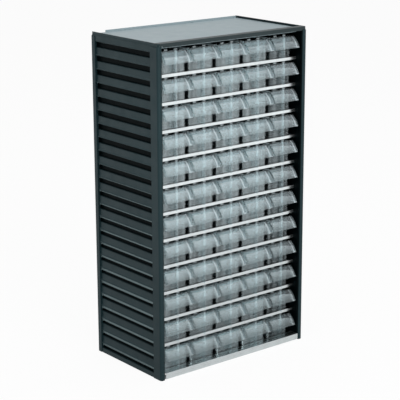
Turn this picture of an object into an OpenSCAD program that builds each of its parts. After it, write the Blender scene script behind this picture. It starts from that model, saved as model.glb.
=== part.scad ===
// Parts bin cabinet: twelve rows of five clear drawers on sheet steel shelves,
// between two ribbed plastic side panels.
// Frame: X to the right, Y to the back, Z up. The origin is the centre of the base.

/* [Cabinet] */
// Overall width
cabinet_w = 310; // [290:1:340]
// Overall depth
cabinet_d = 180; // [172:1:220]
// Overall height
cabinet_h = 550; // [540:1:600]

/* [Side panels] */
// Thickness of a side panel at its front and rear columns
panel_t = 10; // [9.5:0.5:12]
// How far the ribbed field lies behind the columns
field_inset = 1; // [0.5:0.25:1.5]
// Depth of the front column, front to back
front_column = 20; // [16:1:24]
// Depth of the rear column, front to back
rear_column = 11; // [8:1:16]
// Radius of a column's outer vertical edge
column_r = 4; // [2:0.5:6]
// How far below the top a column ends
column_drop = 6; // [5:0.5:9]
// Height of the plain band above the ribs
top_band = 14; // [12:1:20]
// Height of the plain band below the ribs
bottom_band = 8; // [6:1:14]
// Number of louvre slots in a panel
slots = 24; // [20:1:25]
// Height of a slot's opening
slot_h = 9.6; // [7:0.2:11]
// Depth of a slot below the ribbed field
slot_depth = 5; // [3:0.25:5]
// How far a rib's face lies below the ribbed field
rib_recess = 1.8; // [0.8:0.1:2.4]
// Height of the thin rim above the top sheet
rim_h = 3.5; // [2.5:0.5:4]
// Thickness of that rim
rim_t = 2.2; // [1.6:0.2:3]
// Width of the bevel along the front face's inner edge
inner_bevel = 3; // [1:0.5:4]

/* [Sheet metal] */
// Thickness of the shelves and the top sheet
sheet_t = 0.8; // [0.6:0.1:1]
// Height of a shelf's bright front edge
shelf_lip = 5; // [4.5:0.25:6]
// How far the shelf edges lie behind the front of the cabinet
shelf_setback = 15.3; // [14:0.1:18]
// Height of the flange along a shelf's rear edge
shelf_rear_flange = 8; // [6:0.5:12]
// How far the tongues that carry a shelf reach into the side panels
tongue = 2; // [1:0.25:2]
// Width of one of those tongues
tongue_w = 24; // [16:1:30]
// Height of the bottom shelf's drawer surface above the base
floor_h = 11.5; // [10:0.25:14]
// Gap between the base and the bottom shelf's front edge
lip_lift = 1.2; // [0.8:0.1:3]
// Height between the top of the cabinet and the top row's ceiling
head_space = 6.9; // [6.5:0.1:9]
// How far the stop edge hangs below the top row's ceiling
top_edge = 3.3; // [2.8:0.1:5]
// Thickness of the back panel
back_t = 1; // [0.8:0.1:1.5]
// How far the back panel lies inside the rear of the cabinet
back_recess = 2; // [1.8:0.1:4]
// Width of the back panel's seat on each side panel
back_seat = 6; // [5.8:0.1:7]
// Length cut out of the left end of the back panel's raised edge
back_notch = 24; // [12:1:40]
// Depth of the front rail, front to back
rail_d = 13; // [10:0.5:14]
// How far the front rail's lip hangs below the top sheet
rail_drop = 2.2; // [0.4:0.1:3]

/* [Drawers] */
// Clear gap between neighbouring handles
handle_gap = 1.4; // [1:0.1:2.5]
// Gap between the outer handles and the side panels
side_gap = 3.5; // [1.5:0.25:5]
// How far a handle stands past each side of its drawer
handle_overhang = 2; // [1.8:0.1:3]
// How far a handle reaches forward of the front wall
handle_reach = 14.8; // [12:0.1:15]
// Height of a handle's lower edge above the shelf
handle_bottom = 17; // [12:0.25:18]
// How steeply a handle leaves the front wall, in degrees below level
handle_slope = 29; // [20:1:40]
// Radius of a handle's outer corners
handle_r = 5; // [3:0.5:7]
// Thickness of the web under the middle of a handle
web_t = 1.2; // [0.8:0.1:2]
// How far that web stands forward of the front wall
web_reach = 9; // [6:0.5:11]
// Thickness of a drawer's walls and floor
wall = 1.4; // [1:0.1:1.8]
// Radius of a drawer's vertical corners
drawer_r = 4; // [3:0.5:6]
// Width of the rim round the top of a drawer
drawer_rim = 1.2; // [0.8:0.1:1.5]
// Space between a drawer and the shelf edge above it
headroom = 3.3; // [2:0.1:6]
// How far a drawer's front wall lies behind the shelf edge
drawer_setback = 1.5; // [1:0.1:4]
// Free depth behind a closed drawer
rear_gap = 5; // [3:0.5:8]
// How far a drawer pulls out before its lugs meet the shelf edge
drawer_travel = 130; // [100:1:132]

/* [Hidden] */
rows = 12;
columns = 5;
single_rows = 10;

// Clearances
stop_clear = 0.4;    // between a lug and the shelf edge at the end of the travel
sheet_clear = 0.9;   // between a lug and the sheet above it
fit_clear = 0.15;    // round a tongue or a screw, and round the back panel
edge_clear = 0.3;    // between the top sheet and the panels' rims

// Small features
rim_inset = 0.6;     // the rim stands this far inside the ribbed field
rib_nose = 0.5;      // height of a rib's lower edge
rib_flare = 2.2;     // height over which a rib's face slopes out to that edge
rib_shoulder = 1.2;  // height of the slope at a rib's top
rib_lean = 0.3;      // how much nearer the field a rib's foot lies than its head
handle_drop = 1;     // a handle's top edge lies this far below the drawer's rim
handle_steps = 6;    // flats along a handle's curve
web_foot = 1;        // the web ends this far above the shelf
drawer_rim_t = 1.6;  // thickness of a drawer's rim
lug_l = 6;           // length of a stop lug
screw_r = 1.5;
screw_len = 8;
screw_head_r = 2.7;
screw_head_h = 1.7;
drive_r = 1.3;       // six-sided recess in a screw's head
drive_depth = 1;
screw_rows = 6;
screw_margin = 30;   // from the base and the top to the nearest screw
past = 1;            // how far a cut runs past the face that it opens

// Derived places, measured from the origin
front_y = -cabinet_d / 2;
rear_y = cabinet_d / 2;
back_y = rear_y - back_recess - back_t;
shelf_y = front_y + shelf_setback;
drawer_y = shelf_y + drawer_setback;
inner_x = cabinet_w / 2 - panel_t;
sheet_z = cabinet_h - rim_h - sheet_t;
ceiling_z = cabinet_h - head_space;

// Derived sizes
field_t = panel_t - field_inset;
rim_x = field_t - rim_inset - rim_t;
sheet_half_w = inner_x + rim_x - edge_clear;
row_pitch = (ceiling_z - floor_h) / rows;
column_pitch = 2 * (inner_x - side_gap) / columns;
slot_pitch = (cabinet_h - top_band - bottom_band - slot_h) / (slots - 1);
handle_w = column_pitch - handle_gap;
drawer_w = handle_w - 2 * handle_overhang;
drawer_h = row_pitch - shelf_lip - headroom;
drawer_l = back_y - rear_gap - drawer_y;
handle_top = drawer_h - handle_drop;
lug_h = row_pitch - sheet_t - sheet_clear;
lug_y = sheet_t + drawer_travel + stop_clear - drawer_setback;

CASING = [
    "left_side_panel", "right_side_panel", "top_panel", "top_front_rail",
    "back_panel", "bottom_shelf", "shelves", "screws",
];
DRAWERS = [for (row = [1 : single_rows]) for (column = [1 : columns]) drawer_name(row, column)];

// Height of the shelf under a row, counted from 1 at the top
function row_z(row) = floor_h + (rows - row) * row_pitch;

// Centre of a column, counted from 1 at the left
function column_x(column) = (column - (columns + 1) / 2) * column_pitch;

// Name of a drawer that slides by itself
function drawer_name(row, column) = str("drawer_r", row < 10 ? "0" : "", row, "_c", column);

// Middle of each tongue, front to back
function tongue_places() = [shelf_y + tongue_w, back_y - 1.5 * tongue_w];

// Where the screws go through the back panel, as [x, z]
function screw_places() = [
    for (side = [-1, 1]) for (i = [0 : screw_rows - 1])
        [
            side * (inner_x + back_seat / 2),
            screw_margin + i * (cabinet_h - 2 * screw_margin) / (screw_rows - 1)
        ]
];

// ---------- side panels ----------

// Plan of a plate from x = 0 to t, with its outer front and rear edges rounded
module rounded_plan(t) {
    difference() {
        translate([0, front_y]) square([t, cabinet_d]);
        for (end = [-1, 1])
            translate([t - column_r, end * (cabinet_d / 2 - column_r)])
                difference() {
                    translate([0, end < 0 ? -column_r - past : 0])
                        square([column_r + past, column_r + past]);
                    circle(r = column_r, $fn = 48);
                }
    }
}

// Section of a louvre slot and of the rib face under it. x runs inward from the
// ribbed field, and y runs up from the lower edge of the rib above the slot.
module slot_section(with_rib) {
    slot = [
        [-past, 0], [0, 0], [rib_nose, -rib_nose],
        [slot_depth, -rib_nose], [slot_depth, rib_nose - slot_h],
    ];
    rib = [
        [rib_recess, -slot_h - rib_shoulder],
        [rib_recess - rib_lean, rib_flare - slot_pitch],
        [0, -slot_pitch], [-past, -slot_pitch],
    ];
    band = [[slot_depth - rib_nose, -slot_h], [-past, -slot_h]];
    polygon(concat(slot, with_rib ? rib : band));
}

// One slot, cut between the columns
module slot_cut(i) {
    translate([field_t, rear_y - rear_column, cabinet_h - top_band - i * slot_pitch])
        rotate([90, 0, 0])
            linear_extrude(cabinet_d - front_column - rear_column)
                mirror([1, 0]) slot_section(i < slots - 1);
}

// Bevel along the inner edge of the front face
module bevel_cut() {
    translate([0, front_y, -past])
        linear_extrude(cabinet_h)
            polygon([
                [-past, -past], [inner_bevel, -past], [inner_bevel, 0],
                [0, inner_bevel], [-past, inner_bevel],
            ]);
}

// Sockets for the tongues of one shelf, in the panel's inner face
module tongue_sockets(z) {
    for (y = tongue_places())
        translate([-past, y - tongue_w / 2 - fit_clear, z - sheet_t - fit_clear])
            cube([past + tongue + fit_clear, tongue_w + 2 * fit_clear, sheet_t + 2 * fit_clear]);
}

// The right-hand panel, with its inner face on x = 0
module side_panel() {
    color("darkslategray")
        difference() {
            union() {
                // front and rear columns
                linear_extrude(cabinet_h - column_drop)
                    intersection() {
                        rounded_plan(panel_t);
                        for (y = [[front_y, front_column], [rear_y - rear_column, rear_column]])
                            translate([0, y[0]]) square([panel_t, y[1]]);
                    }
                // ribbed field, which the top sheet lies on
                linear_extrude(sheet_z) rounded_plan(field_t);
                // rim beside the top sheet
                linear_extrude(cabinet_h)
                    intersection() {
                        rounded_plan(field_t - rim_inset);
                        translate([rim_x, front_y]) square([rim_t, cabinet_d]);
                    }
            }
            for (i = [0 : slots - 1]) slot_cut(i);
            for (row = [1 : rows]) tongue_sockets(row_z(row));
            bevel_cut();
            // seat for the back panel
            translate([-past, back_y, -past])
                cube([past + back_seat, back_t + back_recess + past, cabinet_h]);
            for (place = screw_places())
                translate([back_seat / 2, back_y + past, place[1]])
                    rotate([90, 0, 0]) cylinder(r = screw_r, h = screw_len + past, $fn = 24);
        }
}

module left_side_panel() { translate([-inner_x, 0, 0]) mirror([1, 0, 0]) side_panel(); }
module right_side_panel() { translate([inner_x, 0, 0]) side_panel(); }

// ---------- sheet metal ----------

// A level sheet whose tongues reach into both side panels, with its upper face on z = 0
module tongued_sheet(y) {
    translate([-inner_x, y, -sheet_t]) cube([2 * inner_x, back_y - y, sheet_t]);
    for (middle = tongue_places())
        translate([-inner_x - tongue, middle - tongue_w / 2, -sheet_t])
            cube([2 * (inner_x + tongue), tongue_w, sheet_t]);
}

// A flange between the side panels, hanging from z = 0
module flange(y, height) {
    translate([-inner_x, y, -height]) cube([2 * inner_x, sheet_t, height]);
}

module shelf() {
    tongued_sheet(shelf_y);
    flange(shelf_y, shelf_lip);
    flange(back_y - sheet_t, shelf_rear_flange);
}

module shelves() {
    color("gainsboro")
        for (row = [1 : rows - 1])
            translate([0, 0, row_z(row)]) shelf();
}

// The bottom shelf comes forward to the front of the cabinet, and its edge is folded under
module bottom_shelf() {
    edge_h = floor_h - lip_lift;
    color("silver")
        translate([0, 0, floor_h]) {
            tongued_sheet(front_y);
            flange(front_y, edge_h);
            flange(back_y - sheet_t, edge_h);
            translate([-inner_x, front_y, -edge_h])
                cube([2 * inner_x, shelf_setback, sheet_t]);
        }
}

module top_panel() {
    stop_z = ceiling_z - top_edge;
    color("lightsteelblue") {
        translate([-sheet_half_w, front_y + sheet_t, sheet_z])
            cube([2 * sheet_half_w, back_y - front_y - sheet_t, sheet_t]);
        // stop edge for the top row, and a flange against the back panel
        translate([0, 0, sheet_z]) flange(shelf_y, sheet_z - stop_z);
        translate([0, 0, sheet_z]) flange(back_y - sheet_t, sheet_z - stop_z);
    }
}

// The rail lies on the top sheet, and its lip covers the sheet's front edge
module top_front_rail() {
    color("darkslategray") {
        translate([-sheet_half_w, front_y, sheet_z + sheet_t])
            cube([2 * sheet_half_w, rail_d, rim_h]);
        translate([-sheet_half_w, front_y, sheet_z])
            cube([2 * sheet_half_w, sheet_t, sheet_t]);
        translate([-inner_x, front_y, sheet_z - rail_drop])
            cube([2 * inner_x, sheet_t, rail_drop + sheet_t]);
    }
}

module back_panel() {
    half_w = inner_x + back_seat - fit_clear;
    color("gainsboro")
        difference() {
            union() {
                translate([-half_w, back_y, lip_lift])
                    cube([2 * half_w, back_t, sheet_z + sheet_t - lip_lift]);
                // raised edge behind the top sheet
                translate([back_notch - half_w, back_y, lip_lift])
                    cube([2 * half_w - back_notch, back_t, cabinet_h - lip_lift]);
            }
            for (place = screw_places())
                translate([place[0], rear_y, place[1]])
                    rotate([90, 0, 0])
                        cylinder(r = screw_r + fit_clear, h = back_recess + back_t + past, $fn = 24);
        }
}

// ---------- screws ----------

// A screw along z, with its head on z = 0
module screw() {
    difference() {
        union() {
            cylinder(r = screw_head_r, h = screw_head_h, $fn = 32);
            translate([0, 0, -screw_len])
                cylinder(r = screw_r - fit_clear, h = screw_len, $fn = 24);
        }
        translate([0, 0, screw_head_h - drive_depth])
            cylinder(r = drive_r, h = drive_depth + past, $fn = 6);
    }
}

module screws() {
    color("dimgray")
        for (place = screw_places())
            translate([place[0], back_y + back_t, place[1]]) rotate([-90, 0, 0]) screw();
}

// ---------- drawers ----------
// A drawer's own frame has the front wall's outer face on y = 0 and the shelf on z = 0.

// Plan of a box of width w from y0 to y1, with rounded corners
module box_plan(w, y0, y1, r) {
    for (inset = [[r, 0], [0, r]])
        translate([inset[0] - w / 2, y0 + inset[1]])
            square([w - 2 * inset[0], y1 - y0 - 2 * inset[1]]);
    for (x = [r - w / 2, w / 2 - r])
        for (y = [y0 + r, y1 - r])
            translate([x, y]) circle(r = r, $fn = 32);
}

// An arc from [0, top] out to [-reach, handle_bottom], getting steeper as it goes
function handle_curve(reach, top) =
    let (
        chord = norm([reach, top - handle_bottom]),
        turn = 2 * (atan2(top - handle_bottom, reach) - handle_slope),
        radius = chord / (2 * sin(turn / 2))
    )
    [
        for (i = [0 : handle_steps])
            let (angle = handle_slope + turn * i / handle_steps)
                [
                    radius * (sin(handle_slope) - sin(angle)),
                    top + radius * (cos(angle) - cos(handle_slope))
                ]
    ];

// The space under that arc, across a width, down to foot
module handle_wedge(w, reach, top, foot) {
    drop = foot < handle_bottom ? [[-reach, foot]] : [];
    rotate([90, 0, 90])
        translate([0, 0, -w / 2])
            linear_extrude(w)
                polygon(concat(handle_curve(reach, top), drop, [[wall, foot], [wall, top]]));
}

// The hood in front of the drawer: curved, with cheeks, and open underneath
module handle() {
    inner_w = handle_w - 2 * wall;
    inner_reach = handle_reach - wall;
    depth = handle_reach + 2 * handle_r;
    difference() {
        intersection() {
            handle_wedge(handle_w, handle_reach, handle_top, handle_bottom);
            linear_extrude(drawer_h)
                box_plan(handle_w, -handle_reach, depth - handle_reach, handle_r);
        }
        intersection() {
            handle_wedge(inner_w, inner_reach, handle_top - 1.4 * wall, handle_bottom - past);
            linear_extrude(drawer_h)
                box_plan(inner_w, -inner_reach, depth - inner_reach, handle_r - wall);
            translate([-inner_w / 2, -handle_reach, 0]) cube([inner_w, handle_reach, drawer_h]);
        }
    }
    // web between the front wall and the hood
    intersection() {
        handle_wedge(web_t, handle_reach - wall / 2, handle_top - wall / 2, web_foot);
        translate([-web_t / 2, -web_reach, 0]) cube([web_t, web_reach + wall, drawer_h]);
    }
}

module drawer() {
    difference() {
        union() {
            linear_extrude(drawer_h) box_plan(drawer_w, 0, drawer_l, drawer_r);
            // rim round the sides and back
            translate([0, 0, drawer_h - drawer_rim_t])
                linear_extrude(drawer_rim_t)
                    box_plan(drawer_w + 2 * drawer_rim, wall, drawer_l, drawer_r);
            // lugs that stop the drawer at the shelf edge above it
            for (x = [-drawer_w / 2, drawer_w / 2 - wall])
                translate([x, lug_y, drawer_h - past])
                    cube([wall, lug_l, lug_h - drawer_h + past]);
        }
        translate([0, 0, wall])
            linear_extrude(drawer_h)
                box_plan(drawer_w - 2 * wall, wall, drawer_l - wall, drawer_r - wall);
    }
    handle();
}

module drawer_at(row, column) {
    color("lightblue", 0.5)
        translate([column_x(column), drawer_y, row_z(row)]) drawer();
}

module drawer_row(row) {
    for (column = [1 : columns]) drawer_at(row, column);
}

// ---------- assembly ----------

left_side_panel();
right_side_panel();
top_panel();
top_front_rail();
back_panel();
bottom_shelf();
shelves();
screws();
for (row = [1 : single_rows]) for (column = [1 : columns])
    drawer_at(row, column);
drawer_row(11);  // drawers_row_11
drawer_row(12);  // drawers_row_12
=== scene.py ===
"""Dresses the parts bin cabinet: clear drawers with hooded handles on zinc-plated shelves, between dark
moulded side panels, under a painted top sheet. Lengths are in metres. +Z is up, and the drawers open
towards -Y."""

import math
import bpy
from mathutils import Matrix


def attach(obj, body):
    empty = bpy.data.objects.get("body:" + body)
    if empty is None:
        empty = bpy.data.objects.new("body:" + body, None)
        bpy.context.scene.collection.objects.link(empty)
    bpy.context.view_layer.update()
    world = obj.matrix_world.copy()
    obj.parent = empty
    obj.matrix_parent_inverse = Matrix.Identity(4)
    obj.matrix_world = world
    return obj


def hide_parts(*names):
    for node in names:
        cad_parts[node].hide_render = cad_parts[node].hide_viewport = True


bl_info = {
    "name": "Parts bin cabinet",
    "version": (1, 0, 0),
    "blender": (4, 5, 0),
    "location": "3D View > Sidebar > Parts cabinet",
    "description": "Models the drawers of a parts bin cabinet and gives every piece its finish",
    "category": "Object",
}

from collections import namedtuple

import bmesh
import bpy
from mathutils import Matrix, Vector

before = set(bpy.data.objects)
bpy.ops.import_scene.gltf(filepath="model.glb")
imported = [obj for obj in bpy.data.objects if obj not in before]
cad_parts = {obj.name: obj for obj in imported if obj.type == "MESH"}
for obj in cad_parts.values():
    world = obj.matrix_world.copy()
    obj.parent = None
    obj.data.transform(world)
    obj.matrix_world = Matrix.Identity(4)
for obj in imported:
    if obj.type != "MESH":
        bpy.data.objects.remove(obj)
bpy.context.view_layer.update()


# ---------- sizes and places ----------


Corner = namedtuple("Corner", "x y z")


def to_micrometre(value):
    return round(value, 6)


def low_corner(name):
    """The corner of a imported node's box that lies lowest along all three axes."""
    return Corner(*map(to_micrometre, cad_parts[name].bound_box[0]))


def high_corner(name):
    """The corner opposite to the low one."""
    return Corner(*map(to_micrometre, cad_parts[name].bound_box[6]))


DRAWER_LOW = low_corner("drawer_r01_c1")
DRAWER_HIGH = high_corner("drawer_r01_c1")
PANEL_HIGH = high_corner("right_side_panel")

ROWS = 12
COLUMNS = 5
SINGLE_ROWS = 10  # the rows below these have one node each
COLUMN_PITCH = to_micrometre(low_corner("drawer_r01_c2").x - DRAWER_LOW.x)
ROW_PITCH = to_micrometre(DRAWER_LOW.z - low_corner("drawer_r02_c1").z)
FLOOR_Z = low_corner("drawers_row_12").z
SHELF_Y = low_corner("shelves").y
DRAWER_SETBACK = 0.0015  # from the shelves' front edges back to the drawers' front walls
DRAWER_Y = to_micrometre(SHELF_Y + DRAWER_SETBACK)
FRONT_Y = low_corner("right_side_panel").y

# places that part the outer faces of the sheet metal from those in the cabinet, which get painted shade
SHELF_EDGE_Y = SHELF_Y + 0.0012
BACK_Y = (low_corner("back_panel").y + high_corner("back_panel").y) / 2
TOP_SHEET_Z = high_corner("top_panel").z - 0.0003

# the louvre slots in the side panels' ribbed fields
SLOTS = 24
FIELD_INSET = 0.001
FIELD_X = PANEL_HIGH.x - FIELD_INSET
SLOT_Z = 0.008
SLOT_HEIGHT = 0.0096
SLOT_DEPTH = 0.005
TOP_BAND = 0.014
FRONT_COLUMN = 0.020
REAR_COLUMN = 0.011
SLOT_TOP = SLOT_Z + SLOT_HEIGHT
SLOT_PITCH = to_micrometre((PANEL_HIGH.z - TOP_BAND - SLOT_TOP) / (SLOTS - 1))
PAST = 0.0005  # how far a pattern runs past the faces that it lies on


def drawer_name(row, column):
    return f"drawer_r{row:02d}_c{column}"


def drawer_place(row, column):
    """Where a drawer's own frame stands: the middle of its front wall's foot."""
    x = (column - (COLUMNS + 1) / 2) * COLUMN_PITCH
    return Vector((x, DRAWER_Y, FLOOR_Z + (ROWS - row) * ROW_PITCH))


# ---------- properties ----------


def length(name, description, default, low=0.0, high=1.0):
    return bpy.props.FloatProperty(
        name=name, description=description, default=default, min=low, max=high, unit="LENGTH", precision=5
    )


def colour(name, description, default):
    return bpy.props.FloatVectorProperty(
        name=name, description=description, default=default, size=3, min=0.0, max=1.0, subtype="COLOR"
    )


def share(name, description, default, high=1.0):
    return bpy.props.FloatProperty(
        name=name, description=description, default=default, min=0.0, max=high, subtype="FACTOR"
    )


def angle(name, description, default):
    return bpy.props.FloatProperty(
        name=name, description=description, default=math.radians(default), subtype="ANGLE", unit="ROTATION"
    )


def power(name, description, default):
    return bpy.props.FloatProperty(
        name=name, description=description, default=default, min=0.0, unit="POWER"
    )


class DrawerSizes(bpy.types.PropertyGroup):
    """Sizes of one drawer, in its own frame"""

    width: length("Width", "Width of a drawer's box", 0.0512)
    depth: length("Depth", "Depth of a drawer's box", to_micrometre(DRAWER_HIGH.y - DRAWER_Y))
    height: length("Height", "Height of a drawer's box", 0.036)
    wall: length("Wall", "Thickness of the walls and the floor", 0.0014)
    corner: length("Corner", "Radius of the box's vertical corners", 0.004)
    rim: length("Rim", "Width of the rim round the top", 0.0012)
    rim_depth: length("Rim depth", "Height of that rim", 0.0016)
    handle_width: length(
        "Handle width", "Width of the hooded handle", to_micrometre(DRAWER_HIGH.x - DRAWER_LOW.x)
    )
    handle_reach: length(
        "Handle reach", "How far the handle stands forward", to_micrometre(DRAWER_Y - DRAWER_LOW.y)
    )
    handle_top: length("Handle top", "Height at which the handle leaves the front wall", 0.035)
    handle_foot: length("Handle foot", "Height of the handle's lower edge", 0.017)
    handle_slope: angle("Handle slope", "Slope at which the handle leaves the front wall", 29)
    handle_corner: length("Handle corner", "Rounding between the handle's front and its cheeks", 0.0045)
    web: length("Web", "Thickness of the web under the handle", 0.0012)
    web_reach: length("Web reach", "How far the web stands forward of the front wall", 0.009)
    web_foot: length("Web foot", "Height of the web's lower edge", 0.001)
    web_drop: length("Web drop", "From the handle's top down to the web's", 0.0065)
    nib_height: length("Nib height", "How far the nibs stand above the front wall", 0.0024)
    lug_place: length("Lug place", "Distance from the front wall to the stop lugs", 0.1297)
    lug_length: length("Lug length", "Length of a stop lug, front to back", 0.006)
    lug_top: length(
        "Lug top", "Height of the stop lugs above the shelf", to_micrometre(DRAWER_HIGH.z - DRAWER_LOW.z)
    )
    softness: length("Edge", "Rounding of the moulding's edges", 0.0003)


class CabinetFinish(bpy.types.PropertyGroup):
    """Colours of the materials, and the rounding of the casing's edges"""

    plastic: colour("Dark plastic", "Colour of the side panels", (0.008, 0.021, 0.025))
    rail: colour("Rail plastic", "Colour of the front rail", (0.020, 0.028, 0.030))
    zinc: colour("Zinc", "Colour of the shelves and the bottom shelf", (0.80, 0.86, 0.87))
    paint: colour("Paint", "Colour of the top sheet and the back", (0.27, 0.34, 0.365))
    screw: colour("Screw", "Colour of the screws", (0.52, 0.53, 0.54))
    clear: colour("Clear plastic", "Tint of the drawers", (0.78, 0.86, 0.90))
    edge: length("Edge", "Rounding of the edges of the mouldings and the screws", 0.0004)
    sheet_edge: length("Sheet edge", "Rounding of the edges of the sheet metal", 0.00024)


class StudioStage(bpy.types.PropertyGroup):
    """Camera, lamps and floor"""

    azimuth: angle("Azimuth", "Direction of the camera, from the front towards the right", -38.73)
    elevation: angle("Elevation", "Height angle of the camera", 15.15)
    roll: angle("Roll", "Turn of the camera about its own axis", -0.19)
    distance: length("Distance", "From the camera to the point it looks at", 2.316, 0.1, 10.0)
    target: bpy.props.FloatVectorProperty(
        name="Target", description="Point the camera looks at", default=(0.0016, 0.0034, 0.2588), size=3,
        subtype="TRANSLATION", unit="LENGTH", precision=4,
    )
    lens: bpy.props.FloatProperty(
        name="Lens", description="Focal length in millimetres", default=123.06, min=10, unit="CAMERA"
    )
    key: power("Key light", "Power of the large front light", 60.0)
    fill: power("Fill light", "Power of the side light", 10.0)
    top: power("Top light", "Power of the overhead light", 14.0)
    ambient: share("Ambient", "Strength of the light from all round", 0.45, 5.0)
    floor_white: share("Floor white", "How far the floor is seen as plain white, under the shadow", 0.93)
    # the near floor's dimmer glow in reflections is a painted shadow
    floor_mirrored: share("Floor mirrored", "Brightness of the near floor in the reflections of it", 0.62)


# ---------- modelling helpers ----------

SLACK = 2e-5  # places closer than this count as one


def deselect_all():
    if bpy.context.object and bpy.context.object.mode != "OBJECT":
        bpy.ops.object.mode_set(mode="OBJECT")
    bpy.ops.object.select_all(action="DESELECT")


def make_active(piece):
    deselect_all()
    piece.select_set(True)
    bpy.context.view_layer.objects.active = piece


def named_piece(name):
    """Names the new primitive and puts its place into its mesh."""
    piece = bpy.context.object
    piece.name = name
    piece.data.name = name
    bpy.ops.object.transform_apply(location=True, rotation=True, scale=True)
    return piece


def add_block(name, low, high):
    deselect_all()
    low, high = Vector(low), Vector(high)
    bpy.ops.mesh.primitive_cube_add(size=1, location=(low + high) / 2, scale=high - low)
    return named_piece(name)


def edit(piece, kind):
    """Opens a piece in edit mode, with nothing selected."""
    make_active(piece)
    bpy.ops.object.mode_set(mode="EDIT")
    bpy.ops.mesh.select_mode(type=kind)
    bpy.ops.mesh.select_all(action="DESELECT")


def pick_faces(piece, test):
    """Selects only the faces whose middle and normal pass the test."""
    bpy.ops.mesh.select_mode(type="FACE")
    bpy.ops.mesh.select_all(action="DESELECT")
    mesh = bmesh.from_edit_mesh(piece.data)
    for face in mesh.faces:
        if test(face.calc_center_median(), face.normal):
            face.select_set(True)
    bmesh.update_edit_mesh(piece.data)


def pick_edges(piece, test):
    """Selects only the edges whose two ends pass the test."""
    bpy.ops.mesh.select_mode(type="EDGE")
    bpy.ops.mesh.select_all(action="DESELECT")
    mesh = bmesh.from_edit_mesh(piece.data)
    for line in mesh.edges:
        if test(line.verts[0].co, line.verts[1].co):
            line.select_set(True)
    bmesh.update_edit_mesh(piece.data)


def cut(axis, place):
    """Cuts the whole mesh by a plane across X, Y or Z, and keeps both sides."""
    bpy.ops.mesh.select_all(action="SELECT")
    point, normal = [0, 0, 0], [0, 0, 0]
    index = "XYZ".index(axis)
    point[index], normal[index] = place, 1
    bpy.ops.mesh.bisect(plane_co=point, plane_no=normal)
    bpy.ops.mesh.select_all(action="DESELECT")


def push(offset):
    """Extrudes the selected faces by an offset."""
    bpy.ops.mesh.extrude_region_move(TRANSFORM_OT_translate={"value": offset})


def apply_modifier(piece, kind, **settings):
    make_active(piece)
    modifier = piece.modifiers.new(kind.title(), kind)
    for key, value in settings.items():
        setattr(modifier, key, value)
    bpy.ops.object.modifier_apply(modifier=modifier.name)


def unite(piece, *others):
    for other in others:
        apply_modifier(piece, "BOOLEAN", operation="UNION", solver="EXACT", object=other)
        bpy.data.objects.remove(other)


def near(a, b):
    return abs(a - b) < SLACK


# ---------- node trees ----------


class Nodes:
    """A node tree, with short calls to add its nodes and link them."""

    def __init__(self, tree, coordinates):
        self.tree = tree
        self.place = self.add("TexCoord").outputs[coordinates]

    def link(self, source, target):
        self.tree.links.new(source, target)

    def feed(self, value, socket):
        """Links another node's output to an input, or sets the input to a plain value."""
        if isinstance(value, bpy.types.NodeSocket):
            self.link(value, socket)
        else:
            socket.default_value = value

    def add(self, kind, **values):
        """A new node. Each value goes to its setting of that name, or else to its input."""
        node = self.tree.nodes.new("ShaderNode" + kind)
        for key, value in values.items():
            if hasattr(node, key):
                setattr(node, key, value)
            else:
                self.feed(value, node.inputs[key.replace("_", " ")])
        return node

    def math(self, operation, *values):
        node = self.add("Math", operation=operation)
        for value, socket in zip(values, node.inputs):
            self.feed(value, socket)
        return node.outputs[0]

    def product(self, first, *others):
        for other in others:
            first = self.math("MULTIPLY", first, other)
        return first

    def axis(self, name):
        """The coordinate along X, Y or Z."""
        return self.add("SeparateXYZ", Vector=self.place).outputs[name]

    def ranged(self, source, low, high, from_low=0.3, from_high=0.7):
        """Maps one range of a value to another and holds its ends. Noise stays near the usual range."""
        node = self.add(
            "MapRange", Value=source, From_Min=from_low, From_Max=from_high, To_Min=low, To_Max=high
        )
        return node.outputs["Result"]

    def above(self, source, place, soft=2e-4):
        """0 below a place and 1 above it, with a soft step."""
        return self.ranged(source, 0, 1, place - soft, place + soft)

    def below(self, source, place, soft=2e-4):
        """1 below a place and 0 above it, with a soft step."""
        return self.ranged(source, 1, 0, place - soft, place + soft)

    def band(self, source, low, high, soft=2e-4):
        """1 between two places and 0 elsewhere."""
        return self.product(self.above(source, low, soft), self.below(source, high, soft))

    def wrapped(self, axis, low, pitch):
        """The coordinate along an axis, repeated at a pitch from a low value on."""
        return self.math("WRAP", self.axis(axis), low + pitch, low)

    def value_mix(self, factor, first, second):
        node = self.add("Mix")
        for index, value in ((0, factor), (2, first), (3, second)):
            self.feed(value, node.inputs[index])
        return node.outputs[0]

    def colour_mix(self, factor, first, second):
        node = self.add("Mix", data_type="RGBA")
        for index, value in ((0, factor), (6, first), (7, second)):
            self.feed(value, node.inputs[index])
        return node.outputs[2]

    def shader_mix(self, factor, first, second):
        node = self.add("MixShader")
        for index, value in enumerate((factor, first, second)):
            self.feed(value, node.inputs[index])
        return node.outputs[0]

    def seen_and_mirrored(self):
        """1 for rays from the camera and for reflected and transmitted ones, and 1 for the reflected ones
        alone. Both are 0 for rays that light the object."""
        path = self.add("LightPath").outputs
        seen = self.math("MAXIMUM", path["Is Camera Ray"], path["Is Glossy Ray"])
        seen = self.math("MAXIMUM", seen, path["Is Transmission Ray"])
        return seen, path["Is Glossy Ray"]


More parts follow.
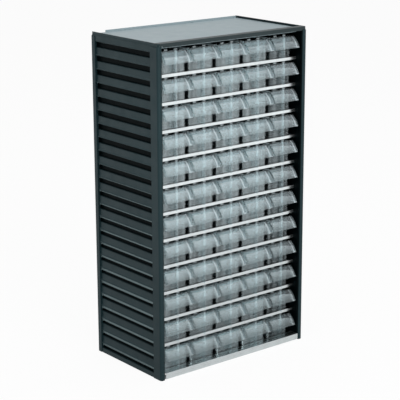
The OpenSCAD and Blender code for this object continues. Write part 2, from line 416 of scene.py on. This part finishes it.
class MaterialNodes(Nodes):
    """The nodes of a new material, over the piece's own coordinates."""

    def __init__(self, name):
        old = bpy.data.materials.get(name)
        if old:
            bpy.data.materials.remove(old)
        self.material = bpy.data.materials.new(name)
        self.material.use_nodes = True
        super().__init__(self.material.node_tree, "Object")
        self.shader = self.tree.nodes["Principled BSDF"]

    def set(self, **values):
        """Sets or links inputs of the material's main shader."""
        for key, value in values.items():
            self.feed(value, self.shader.inputs[key.replace("_", " ")])

    def show(self, shader):
        """Puts another shader on the surface in the main one's place."""
        self.link(shader, self.tree.nodes["Material Output"].inputs["Surface"])

    def noise(self, scale, detail, stretch=None):
        """Noise that lies in the piece. A stretch below 1 draws it out along its axis."""
        place = self.place
        if stretch:
            place = self.add("Mapping", Vector=place, Scale=stretch).outputs["Vector"]
        return self.add("TexNoise", Vector=place, Scale=scale, Detail=detail).outputs["Fac"]

    def bump(self, height, strength, distance, under=None):
        """The surface's direction with bumps of a height, laid over other bumps."""
        node = self.add("Bump", Height=height, Strength=strength, Distance=distance)
        if under:
            self.link(under, node.inputs["Normal"])
        return node.outputs["Normal"]


# ---------- materials ----------


def tinted(base, factor):
    """A colour made brighter or darker, with its alpha."""
    return (*(min(1.0, channel * factor) for channel in base), 1)


# how deep in a slot the painted shade is full, and how deep it starts
SLOT_PAINTED_SHADE = (0.004, 0.0016)

# the painted highlight band on a slot's rear face: its height at two heights of the panel, and its colour
LIT_HEIGHTS = (0.0065, 0.0019)
LIT_PLACES = (0.12, 0.38)
PAINTED_HIGHLIGHT_TONE = (0.19, 0.25, 0.26, 1)
LIT_SOFT = 4e-4


def slot_painted_highlight(g, outward):
    """Where the rear faces of the slots get a painted highlight for the light they catch: their upper part,
    widening towards the base.
    """
    in_slot = g.wrapped("Z", SLOT_Z, SLOT_PITCH)
    from_top = g.math("ADD", in_slot, g.ranged(g.axis("Z"), *LIT_HEIGHTS, *LIT_PLACES))
    return g.product(
        g.above(from_top, SLOT_TOP, LIT_SOFT),
        g.above(outward, FIELD_X - SLOT_DEPTH - PAST),
        g.below(in_slot, SLOT_TOP + LIT_SOFT / 2),
        g.band(g.axis("Y"), FRONT_Y + FRONT_COLUMN - PAST, -FRONT_Y - REAR_COLUMN + PAST),
    )


def moulded_plastic(name, base, slotted=False):
    """Satin moulded plastic with a fine grain and a faint cloudiness. The slots of a slotted piece get
    painted shade towards their rear faces, apart from a painted highlight band there."""
    g = MaterialNodes(name)
    cloud = g.ranged(g.noise(scale=9, detail=4), 0, 1)
    tone = g.colour_mix(cloud, tinted(base, 0.88), tinted(base, 1.12))
    gloss = 0.3
    if slotted:
        outward = g.math("ABSOLUTE", g.axis("X"))
        # 1 on the field's face, falling to 0 where the painted shade deep in a slot is full
        in_field = g.ranged(outward, 0, 1, *(FIELD_X - depth for depth in SLOT_PAINTED_SHADE))
        at_front = g.below(g.axis("Y"), FRONT_Y + 0.0012, soft=4e-4)
        raised = g.math("MAXIMUM", in_field, at_front)
        # painted shade deep in the slots, with the painted highlight band on their rear faces
        slot = g.colour_mix(slot_painted_highlight(g, outward), tinted(base, 0.12), PAINTED_HIGHLIGHT_TONE)
        tone = g.colour_mix(raised, slot, tone)
        gloss = g.value_mix(raised, 0.03, gloss)
    waves = g.bump(g.noise(scale=25, detail=3), strength=0.05, distance=0.002)
    g.set(
        Base_Color=tone,
        Roughness=g.ranged(g.noise(scale=60, detail=5), 0.36, 0.5),
        Normal=g.bump(g.noise(scale=1400, detail=2), strength=0.12, distance=0.0002, under=waves),
        IOR=1.5,
        Specular_IOR_Level=gloss,
        Specular_Tint=(0.72, 0.94, 0.98, 1),
    )
    return g.material


def zinc_sheet(name, base):
    """Bright zinc-plated sheet, faintly brushed along its length, with a soft spangle. Behind the shelves'
    front edges it is darkened by painted shade."""
    g = MaterialNodes(name)
    # painted shade on the faces behind the shelves' front edges
    inside = g.above(g.axis("Y"), SHELF_EDGE_Y)
    brushed = g.noise(scale=60, detail=4, stretch=(0.06, 14, 14))
    spangle = g.add("TexVoronoi", Vector=g.place, Scale=70).outputs["Distance"]
    bright = g.colour_mix(g.ranged(spangle, 0, 1, 0.0, 0.8), tinted(base, 0.94), tinted(base, 1.03))
    g.set(
        Base_Color=g.colour_mix(inside, bright, tinted(base, 0.16)),
        Metallic=1.0,
        Roughness=g.ranged(brushed, 0.2, 0.36),
        Normal=g.bump(brushed, strength=0.12, distance=0.0002),
    )
    return g.material


def painted_sheet(name, base):
    """Satin paint with a fine orange peel, and painted shade on the faces that look into the cabinet."""
    g = MaterialNodes(name)
    cloud = g.ranged(g.noise(scale=6, detail=3), 0, 1)
    paint = g.colour_mix(cloud, tinted(base, 0.96), tinted(base, 1.04))
    # painted shade on the faces that look into the cabinet
    inside = g.product(
        g.above(g.axis("Y"), SHELF_EDGE_Y),
        g.below(g.axis("Y"), BACK_Y),
        g.below(g.axis("Z"), TOP_SHEET_Z),
    )
    g.set(
        Base_Color=g.colour_mix(inside, paint, tinted(base, 0.08)),
        Roughness=g.ranged(g.noise(scale=40, detail=4), 0.34, 0.44),
        Normal=g.bump(g.noise(scale=520, detail=2), strength=0.08, distance=0.0003),
        IOR=1.5,
    )
    return g.material


def plated_steel(name, base):
    """Plated steel with a fine mottle."""
    g = MaterialNodes(name)
    mottle = g.ranged(g.noise(scale=300, detail=3), 0, 1)
    g.set(
        Base_Color=g.colour_mix(mottle, tinted(base, 0.85), tinted(base, 1.1)),
        Metallic=1.0,
        Roughness=g.ranged(g.noise(scale=500, detail=4), 0.25, 0.45),
    )
    return g.material


# places of the haze, the painted highlights and the painted shade in a drawer's plastic: across from the
# drawer's middle, or up from its foot
STRIPE = (0.0045, 0.0085)
STRIPE_FADE = (0.015, 0.019)
END_LINE = (0.0216, 0.0232)
RIGHT_END = 0.0238
LEFT_END = -0.0236
OUTER_END = -0.0273
CORNER_TOP = 0.0183
HOOD_FADE = (0.022, 0.031)
RIM_FADE = (0.0342, 0.0346)
WALL_TOP = 0.0349
NIB_FOOT = 0.0361

# just before and just behind the drawers' front walls, and where the painted shade at the last column's
# right end starts
WALL_FRONT_Y = DRAWER_Y - 0.0004
WALL_REAR_Y = DRAWER_Y + 0.002
LAST_END_X = 0.1310

# heights over which painted shade makes the rows darker towards the base, and the noise that shows as flow
# marks
LOWER_ROWS = (0.0, 0.3)
FLOW = (0.36, 0.66)


def clear_plastic(name, base):
    """Clear moulded polystyrene: see-through and glossy on both sides of every wall. A slight haze lies in
    the handles, and flow marks and a painted highlight stripe in the front walls. The handles' rounded ends
    carry painted shade, with a painted highlight line beside the right one, at its lower corner and along
    the edge of the left one. The front walls have painted shade along their upper edge, painted highlights
    on the nibs and on the rims behind them. The lower rows are darker by painted shade, and so are the front
    walls of the last column, most of all at their right end."""
    g = MaterialNodes(name)
    flow = g.noise(scale=150, detail=3, stretch=(1.1, 0.15, 0.02))
    marks = g.bump(flow, strength=0.04, distance=0.001)

    # where the handles, the boxes, the painted highlights and the painted shade lie
    across = g.wrapped("X", -COLUMN_PITCH / 2, COLUMN_PITCH)
    height = g.math("SUBTRACT", g.wrapped("Z", FLOOR_Z, ROW_PITCH), FLOOR_Z)
    in_handle = g.below(g.axis("Y"), WALL_FRONT_Y)
    in_box = g.math("SUBTRACT", 1, in_handle)
    behind_wall = g.above(g.axis("Y"), WALL_REAR_Y)
    # painted highlight: a light stripe in each front wall, stronger above the handle's foot
    stripe = g.band(across, *STRIPE, soft=0.0012)
    # painted shade at the handles' rounded ends, with painted highlights: a line beside the right end, its
    # lower corner and the left end's outer edge
    painted_end_highlight = g.product(in_handle, g.band(across, *END_LINE))
    painted_shade_right_end = g.product(in_handle, g.above(across, RIGHT_END))
    painted_shade_left_end = g.product(in_handle, g.below(across, LEFT_END, soft=4e-4))
    painted_highlight_outer_end = g.product(in_handle, g.below(across, OUTER_END, soft=3e-4))
    corner = g.product(painted_shade_right_end, g.below(height, CORNER_TOP, soft=3e-4))
    # painted shade along the front walls' top edge, with painted highlights on the nibs
    painted_shade_wall_top = g.product(g.below(g.axis("Y"), WALL_REAR_Y), g.above(height, WALL_TOP))
    nibs = g.above(height, NIB_FOOT)
    # painted shade on the last column's front walls, darkest at their right end
    painted_shade_last_walls = g.product(in_box, g.above(g.axis("X"), 1.5 * COLUMN_PITCH))
    painted_shade_last_end = g.product(in_box, g.above(g.axis("X"), LAST_END_X, soft=6e-4))

    # haze: how much of the plastic's own colour shows, with painted highlights and painted shade laid into
    # it
    # painted shade: haze and shine fall towards the base
    painted_shade_lower_rows = g.ranged(g.axis("Z"), 0.55, 1, *LOWER_ROWS)
    in_hood = g.product(g.ranged(height, 0.08, 0.17, *HOOD_FADE), painted_shade_lower_rows)
    # painted highlight on the rims behind the front walls
    painted_highlight_rim = g.ranged(height, 0.01, 0.4, *RIM_FADE)
    haze = g.value_mix(stripe, g.ranged(flow, 0.0, 0.12, *FLOW), g.ranged(height, 0.1, 0.5, *STRIPE_FADE))
    haze = g.value_mix(in_handle, haze, in_hood)
    haze = g.value_mix(behind_wall, haze, painted_highlight_rim)
    for mask, amount in (
        (painted_end_highlight, 0.4),
        (painted_shade_right_end, 0.1),
        (corner, 0.32),
        (painted_shade_left_end, 0.0),
        (painted_highlight_outer_end, 0.3),
        (painted_shade_wall_top, 0.0),
        (nibs, 0.2),
        (painted_shade_last_end, 0.0),
    ):
        haze = g.value_mix(mask, haze, amount)
    haze = g.product(haze, painted_shade_lower_rows)

    # shine: the same reflectance seen from outside and from within the wall, lowered as painted shade in the
    # lower rows, at the handles' ends, along the front walls' top edges and in the last column
    grazing = g.math("POWER", g.add("LayerWeight", Blend=0.5).outputs["Facing"], 5)
    shine = g.product(g.ranged(grazing, 0.1, 1, 0, 1), g.ranged(g.axis("Z"), 0.9, 1, *LOWER_ROWS))
    for mask, amount in (
        (painted_shade_last_walls, 0.025),
        (painted_shade_last_end, 0.0),
        (painted_shade_left_end, 0.02),
        (painted_shade_right_end, 0.02),
        (painted_shade_wall_top, 0.02),
    ):
        shine = g.value_mix(mask, shine, amount)

    g.set(Base_Color=tinted(base, 1), Roughness=0.3, Normal=marks, IOR=1.59)
    clear = g.add("BsdfTransparent", Color=(0.94, 0.98, 0.985, 1))
    gloss = g.add("BsdfGlossy", Color=(0.86, 0.97, 1, 1), Roughness=0.05, Normal=marks)
    body = g.shader_mix(haze, clear.outputs[0], g.shader.outputs[0])
    g.show(g.shader_mix(shine, body, gloss.outputs[0]))
    return g.material


def dress(piece, material):
    piece.data.materials.clear()
    piece.data.materials.append(material)


# ---------- operators: casing ----------

FLAT_ANGLE = math.radians(1)  # faces that meet at less are one face
CASING_ANGLE = math.radians(35)  # edges sharper than this are rounded


def round_edges(node, width):
    """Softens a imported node's sharp edges without touching its mesh."""
    node.modifiers.new("Join", "WELD").merge_threshold = 1e-6
    flat = node.modifiers.new("Flats", "DECIMATE")
    flat.decimate_type = "DISSOLVE"
    flat.angle_limit = FLAT_ANGLE
    soft = node.modifiers.new("Edges", "BEVEL")
    soft.limit_method = "ANGLE"
    soft.angle_limit = CASING_ANGLE
    soft.width = width
    soft.segments = 2
    node.modifiers.new("Shading", "WEIGHTED_NORMAL").keep_sharp = True


def finish_nodes(names, edge, material):
    """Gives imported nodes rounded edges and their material."""
    for name in names:
        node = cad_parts[name]
        round_edges(node, edge)
        dress(node, material)


class CABINET_OT_side_panels(bpy.types.Operator):
    """Gives the two ribbed side panels rounded edges and dark moulded plastic"""

    bl_idname = "cabinet.side_panels"
    bl_label = "Side panels"

    def execute(self, context):
        finish = context.scene.cabinet_finish
        plastic = moulded_plastic("dark_plastic", finish.plastic, slotted=True)
        finish_nodes(("left_side_panel", "right_side_panel"), finish.edge, plastic)
        return {"FINISHED"}


class CABINET_OT_front_rail(bpy.types.Operator):
    """Gives the top front rail rounded edges and dark plastic"""

    bl_idname = "cabinet.front_rail"
    bl_label = "Front rail"

    def execute(self, context):
        finish = context.scene.cabinet_finish
        finish_nodes(("top_front_rail",), finish.edge, moulded_plastic("rail_plastic", finish.rail))
        return {"FINISHED"}


class CABINET_OT_shelves(bpy.types.Operator):
    """Gives the shelves and the bottom shelf folded edges and bright zinc"""

    bl_idname = "cabinet.shelves"
    bl_label = "Shelves"

    def execute(self, context):
        finish = context.scene.cabinet_finish
        finish_nodes(("shelves", "bottom_shelf"), finish.sheet_edge, zinc_sheet("zinc_sheet", finish.zinc))
        return {"FINISHED"}


class CABINET_OT_painted_sheets(bpy.types.Operator):
    """Gives the top sheet and the back panel folded edges and satin paint"""

    bl_idname = "cabinet.painted_sheets"
    bl_label = "Top sheet and back"

    def execute(self, context):
        finish = context.scene.cabinet_finish
        paint = painted_sheet("painted_sheet", finish.paint)
        finish_nodes(("top_panel", "back_panel"), finish.sheet_edge, paint)
        return {"FINISHED"}


class CABINET_OT_screws(bpy.types.Operator):
    """Gives the screws rounded heads and plated steel"""

    bl_idname = "cabinet.screws"
    bl_label = "Screws"

    def execute(self, context):
        finish = context.scene.cabinet_finish
        finish_nodes(("screws",), finish.edge, plated_steel("screw_steel", finish.screw))
        return {"FINISHED"}


# ---------- operators: drawers ----------

DRAWER_ANGLE = math.radians(40)  # edges sharper than this are rounded
OVERLAP = 0.0002  # how far a block reaches into what it joins
NIB_PLACES = ((-0.0165, -0.0105), (0.0035, 0.0090))  # across from the drawer's middle
LEAST_FACES = 100  # a drawer with fewer faces has lost one of its parts


def drawer_box(s):
    """The box with its rim and stop lugs."""
    half = s.width / 2
    rim_foot = s.height - s.rim_depth
    box = add_block("drawer_box", (-half, 0, 0), (half, s.depth, s.height))
    edit(box, "EDGE")
    pick_edges(box, lambda a, b: near(a.x, b.x) and near(a.y, b.y))
    bpy.ops.mesh.bevel(offset=s.corner, segments=4, affect="EDGES")
    # hollow
    pick_faces(box, lambda middle, normal: normal.z > 0.9)
    bpy.ops.mesh.inset(thickness=s.wall)
    push((0, 0, s.wall - s.height))
    # rim round the sides and the back
    cut("Z", rim_foot)
    pick_faces(
        box,
        lambda middle, normal: middle.z > rim_foot
        and abs(normal.z) < 0.1
        and normal.y > -0.99
        and Vector((middle.x, middle.y - s.depth / 2, 0)).dot(normal) > 0
        and middle.y > s.corner * 0.2,
    )
    bpy.ops.mesh.extrude_region_shrink_fatten(TRANSFORM_OT_shrink_fatten={"value": s.rim})
    # stop lugs on the side walls
    cut("Y", s.lug_place)
    cut("Y", s.lug_place + s.lug_length)
    pick_faces(
        box,
        lambda middle, normal: normal.z > 0.9
        and middle.z > s.height - s.wall
        and half - s.wall < abs(middle.x) < half
        and s.lug_place < middle.y < s.lug_place + s.lug_length,
    )
    push((0, 0, s.lug_top - s.height))
    bpy.ops.object.mode_set(mode="OBJECT")
    return box


def drawer_hood(s):
    """The curved handle, with cheeks and rounded corners, open underneath."""
    half = s.handle_width / 2
    drop = s.handle_top - s.handle_foot
    chord = math.hypot(s.handle_reach, drop)
    turn = 2 * (math.atan2(drop, s.handle_reach) - s.handle_slope)
    radius = chord / (2 * math.sin(turn / 2))
    middle = (0, radius * math.sin(s.handle_slope), s.handle_top - radius * math.cos(s.handle_slope))
    root = (0, s.wall / 2, s.handle_top)
    deselect_all()
    bpy.ops.mesh.primitive_plane_add(size=1, location=root)
    hood = named_piece("drawer_hood")
    edit(hood, "VERT")
    bpy.ops.mesh.select_all(action="SELECT")
    bpy.ops.transform.resize(value=(s.handle_width, s.wall, 1), center_override=root)
    pick_edges(hood, lambda a, b: near(a.y, 0) and near(b.y, 0))
    bpy.ops.mesh.spin(steps=10, angle=turn, center=middle, axis=(-1, 0, 0), dupli=False)
    # cheeks
    for end in (-half, half):
        pick_edges(hood, lambda a, b: near(a.x, end) and near(b.x, end) and a.z > s.handle_foot - SLACK)
        bpy.ops.mesh.extrude_edges_move(TRANSFORM_OT_translate={"value": (0, 0, 0)})
        bpy.ops.transform.resize(value=(1, 1, 0), center_override=(0, 0, s.handle_foot))
    bpy.ops.mesh.select_all(action="SELECT")
    bpy.ops.mesh.remove_doubles(threshold=1e-5)
    bpy.ops.mesh.normals_make_consistent(inside=False)
    # corners between the curve and the cheeks
    pick_edges(
        hood,
        lambda a, b: near(abs(a.x), half)
        and near(a.x, b.x)
        and not near(a.y, b.y)
        and not (near(a.z, s.handle_foot) and near(b.z, s.handle_foot)),
    )
    bpy.ops.mesh.bevel(offset=s.handle_corner, segments=4, affect="EDGES", clamp_overlap=True)
    bpy.ops.object.mode_set(mode="OBJECT")
    apply_modifier(hood, "SOLIDIFY", thickness=s.wall, offset=-1, use_even_offset=True)
    return hood


def drawer_web(s):
    """The upright web under the middle of the handle."""
    low = (-s.web / 2, -s.web_reach, s.web_foot)
    return add_block("drawer_web", low, (s.web / 2, OVERLAP, s.handle_top - s.web_drop))


def drawer_nibs(s):
    """The low nibs on top of the front wall."""
    rear = s.wall - OVERLAP
    foot = s.height - 2 * OVERLAP
    top = s.height + s.nib_height
    return [add_block("drawer_nib", (left, OVERLAP, foot), (right, rear, top)) for left, right in NIB_PLACES]


def whole_drawer(s):
    """All parts of a drawer in one moulding, with softened edges."""
    drawer = drawer_box(s)
    unite(drawer, drawer_hood(s), drawer_web(s), *drawer_nibs(s))
    apply_modifier(
        drawer, "BEVEL", width=s.softness, segments=2, limit_method="ANGLE", angle_limit=DRAWER_ANGLE
    )
    make_active(drawer)
    bpy.ops.object.shade_smooth_by_angle(angle=DRAWER_ANGLE)
    apply_modifier(drawer, "WEIGHTED_NORMAL", keep_sharp=True)
    if len(drawer.data.polygons) < LEAST_FACES:
        raise RuntimeError("the drawer's parts did not join")
    return drawer


def drawer_copy(drawer, name, row, column):
    """A copy with its own mesh, in its place in the cabinet."""
    piece = drawer.copy()
    piece.data = drawer.data.copy()
    piece.name = piece.data.name = name
    bpy.context.scene.collection.objects.link(piece)
    piece.data.transform(Matrix.Translation(drawer_place(row, column)))
    return piece


class CABINET_OT_drawers(bpy.types.Operator):
    """Models one clear drawer with its hooded handle and puts a copy in every place"""

    bl_idname = "cabinet.drawers"
    bl_label = "Drawers"

    def execute(self, context):
        drawer = whole_drawer(context.scene.cabinet_drawer)
        dress(drawer, clear_plastic("clear_plastic", context.scene.cabinet_finish.clear))
        columns = range(1, COLUMNS + 1)
        for row in range(1, SINGLE_ROWS + 1):
            for column in columns:
                node = drawer_name(row, column)
                piece = drawer_copy(drawer, f"clear_{node}", row, column)
                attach(piece, f"{node}_body")
                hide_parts(node)
        for row in range(SINGLE_ROWS + 1, ROWS + 1):
            copies = [drawer_copy(drawer, f"clear_row_{row}_c{column}", row, column) for column in columns]
            piece = copies[0]
            make_active(piece)
            for other in copies:
                other.select_set(True)
            bpy.ops.object.join()
            piece.name = piece.data.name = f"clear_drawers_row_{row}"
            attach(piece, f"drawers_row_{row}_body")
            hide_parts(f"drawers_row_{row}")
        bpy.data.objects.remove(drawer)
        return {"FINISHED"}


# ---------- operators: stage ----------

WHITE = (1, 1, 1, 1)
PAPER = (0.93, 0.93, 0.93, 1)
FLOOR_WIDTH = 14
GROUND_Z = -0.0002  # a hair below the cabinet's feet

# the reflected floor, with a painted shadow near the object's foot: the distances between which it
# brightens, and its strength beyond them
FLOOR_FADE = (0.12, 1.2)
FLOOR_FAR = 1.08

# the reflected studio: its strengths at two slopes upward, and at two directions to the right
UPWARD_LIGHT = (0.66, 1.45)
UPWARD = (0.3, 0.68)
SIDEWAYS_LIGHT = (1.0, 0.72)
SIDEWAYS = (0.6, 0.66)

LAMP_TARGET = Vector((0, 0, 0.28))


def floor_paper(s):
    """White paper that keeps the object's shadow. Its glow in reflections darkens towards the object's foot,
    a painted shadow.
    """
    g = MaterialNodes("floor_white")
    seen, mirrored = g.seen_and_mirrored()
    distance = g.math("ABSOLUTE", g.axis("Y"))
    # painted shadow: the floor's glow in reflections fades towards the object's foot
    reflected = g.ranged(distance, s.floor_mirrored, FLOOR_FAR, *FLOOR_FADE)
    glow = g.add("Emission", Strength=g.value_mix(mirrored, 1.0, reflected))
    g.set(Base_Color=PAPER, Roughness=0.9)
    g.show(g.shader_mix(g.product(seen, s.floor_white), g.shader.outputs[0], glow.outputs[0]))
    return g.material


def lay_floor(s):
    deselect_all()
    bpy.ops.mesh.primitive_plane_add(size=FLOOR_WIDTH, location=(0, 0, GROUND_Z))
    floor = named_piece("floor")
    dress(floor, floor_paper(s))


def light_all_round(scene, s):
    """Even light on the object, in front of white. Reflections show a studio that is brighter above."""
    world = bpy.data.worlds.new("studio")
    scene.world = world
    world.use_nodes = True
    world.node_tree.nodes.clear()
    g = Nodes(world.node_tree, "Generated")
    seen, mirrored = g.seen_and_mirrored()
    upward = g.ranged(g.axis("Z"), *UPWARD_LIGHT, *UPWARD)
    sideways = g.ranged(g.axis("X"), *SIDEWAYS_LIGHT, *SIDEWAYS)
    soft = g.add("Background", Color=WHITE, Strength=s.ambient)
    strength = g.value_mix(mirrored, 1.0, g.product(upward, sideways))
    white = g.add("Background", Color=WHITE, Strength=strength)
    background = g.shader_mix(seen, soft.outputs[0], white.outputs[0])
    g.link(background, g.add("OutputWorld").inputs["Surface"])


def hang_lamp(scene, name, watts, place, width):
    lamp = bpy.data.lights.new(name, "AREA")
    lamp.shape = "SQUARE"
    lamp.size = width
    lamp.energy = watts
    light = bpy.data.objects.new(name, lamp)
    scene.collection.objects.link(light)
    light.location = place
    light.rotation_euler = (LAMP_TARGET - Vector(place)).to_track_quat("-Z", "Y").to_euler()


def aim_camera(scene, s):
    camera = bpy.data.objects.new("camera", bpy.data.cameras.new("camera"))
    scene.collection.objects.link(camera)
    level = math.cos(s.elevation)
    back = Vector((math.sin(s.azimuth) * level, -math.cos(s.azimuth) * level, math.sin(s.elevation)))
    camera.location = Vector(s.target) + back * s.distance
    upright = (-back).to_track_quat("-Z", "Y").to_matrix().to_4x4()
    camera.rotation_euler = (upright @ Matrix.Rotation(s.roll, 4, "Z")).to_euler()
    camera.data.sensor_width = 36
    camera.data.lens = s.lens
    camera.data.clip_start = 0.05
    camera.data.clip_end = 60
    scene.camera = camera


class CABINET_OT_stage(bpy.types.Operator):
    """Sets the floor, the lights and the camera"""

    bl_idname = "cabinet.stage"
    bl_label = "Stage"

    def execute(self, context):
        scene = context.scene
        s = scene.cabinet_stage
        lay_floor(s)
        light_all_round(scene, s)
        hang_lamp(scene, "key_light", s.key, place=(-0.5, -3.0, 1.6), width=2.2)
        hang_lamp(scene, "fill_light", s.fill, place=(-2.6, -0.8, 1.4), width=2.0)
        hang_lamp(scene, "top_light", s.top, place=(0.1, 0.1, 2.6), width=2.4)
        aim_camera(scene, s)
        scene.view_settings.view_transform = "Standard"
        return {"FINISHED"}


# ---------- add-on ----------


class CABINET_PT_panel(bpy.types.Panel):
    """Lists the cabinet's pieces, with their sizes and finishes"""

    bl_idname = "CABINET_PT_panel"
    bl_label = "Parts cabinet"
    bl_space_type = "VIEW_3D"
    bl_region_type = "UI"
    bl_category = "Parts cabinet"

    def draw(self, context):
        for operator in OPERATORS:
            self.layout.operator(operator.bl_idname)
        for group in GROUPS:
            settings = getattr(context.scene, group)
            box = self.layout.box()
            for key in settings.__annotations__:
                box.prop(settings, key)


OPERATORS = (
    CABINET_OT_side_panels,
    CABINET_OT_front_rail,
    CABINET_OT_shelves,
    CABINET_OT_painted_sheets,
    CABINET_OT_screws,
    CABINET_OT_drawers,
    CABINET_OT_stage,
)
GROUPS = {"cabinet_drawer": DrawerSizes, "cabinet_finish": CabinetFinish, "cabinet_stage": StudioStage}
CLASSES = (*GROUPS.values(), *OPERATORS, CABINET_PT_panel)


def register():
    for item in CLASSES:
        bpy.utils.register_class(item)
    for name, group in GROUPS.items():
        setattr(bpy.types.Scene, name, bpy.props.PointerProperty(type=group))


def unregister():
    for name in GROUPS:
        delattr(bpy.types.Scene, name)
    for item in reversed(CLASSES):
        bpy.utils.unregister_class(item)


def main():
    register()
    for operator in OPERATORS:
        group, call = operator.bl_idname.split(".")
        getattr(getattr(bpy.ops, group), call)()


if __name__ == "__main__":
    main()
